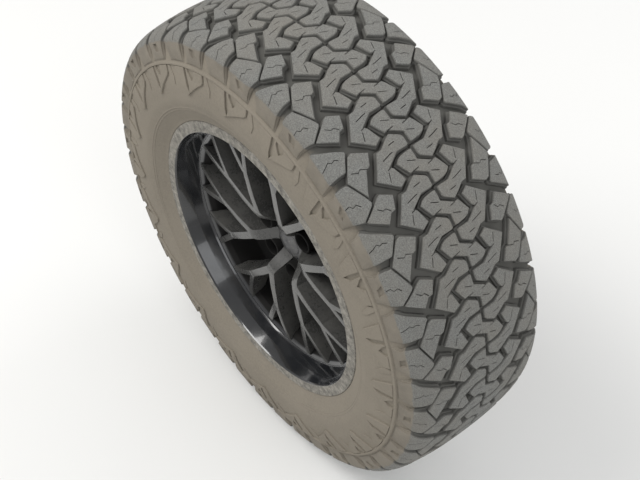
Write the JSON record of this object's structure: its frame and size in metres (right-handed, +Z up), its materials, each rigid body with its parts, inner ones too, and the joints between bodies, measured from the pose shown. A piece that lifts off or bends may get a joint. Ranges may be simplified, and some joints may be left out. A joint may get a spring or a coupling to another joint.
{
  "type": "front wheel end of a lifted off-road 4x4",
  "caption": "Steered wheel end: block-treaded off-road tyre on a dished branching-arm alloy wheel, with hub, disc brake, knuckle and the axle end yoke that carries it.",
  "frame": {"origin": "centre of the mouth of the axle tube socket, on the wheel's axis", "axes": "+Z up, the wheel turns about Y, the wheel's outer face looks along -Y and the vehicle drives towards -X"},
  "size_m": [0.884, 0.4076, 0.884],
  "materials": {
    "tyre_rubber": "dusty moulded tread rubber",
    "gloss_black_alloy": "gloss black lacquer over cast aluminium",
    "cap_plastic": "gloss black",
    "plated_steel": "zinc plated",
    "black_steel": "gloss black chromed",
    "valve_rubber": "satin",
    "hub_steel": "machined, lightly rusted",
    "disc_iron": "rubbed bright on the faces, rust at the edges",
    "cast_knuckle": "as cast, dusty",
    "cast_caliper": "as cast, dusty",
    "shield_steel": "satin black, dusty",
    "pad_lining": "matt black backing plates",
    "axle_paint": "satin black, dusty"
  },
  "bodies": {
    "axle_end": {"axle_yoke": "axle_paint", "ball_joint_housings": "axle_paint", "ball_joint_boots": "valve_rubber"},
    "steered_knuckle": {"knuckle": "cast_knuckle", "ball_studs": "plated_steel", "hub_bearing": "hub_steel", "dust_shield": "shield_steel", "caliper": "cast_caliper", "caliper_bracket": "cast_knuckle", "brake_pads": "pad_lining"},
    "road_wheel": {"tyre": "tyre_rubber", "alloy_wheel": "gloss_black_alloy", "centre_cap": "cap_plastic", "lug_nuts": "black_steel", "valve_stem": "valve_rubber", "wheel_studs": "plated_steel", "hub": "hub_steel", "brake_disc": "disc_iron", "stub_axle": "hub_steel"}
  },
  "joints": [
    {"name": "steering", "type": "hinge", "parent": "axle_end", "child": "steered_knuckle", "pos_m": [0, -0.092, 0], "axis": [0, 0.1478, 0.989], "range_deg": [-33, 33]},
    {"name": "wheel_spin", "type": "hinge", "parent": "steered_knuckle", "child": "road_wheel", "pos_m": [0, -0.2596, 0], "axis": [0, 1, 0], "continuous": true}
  ]
}
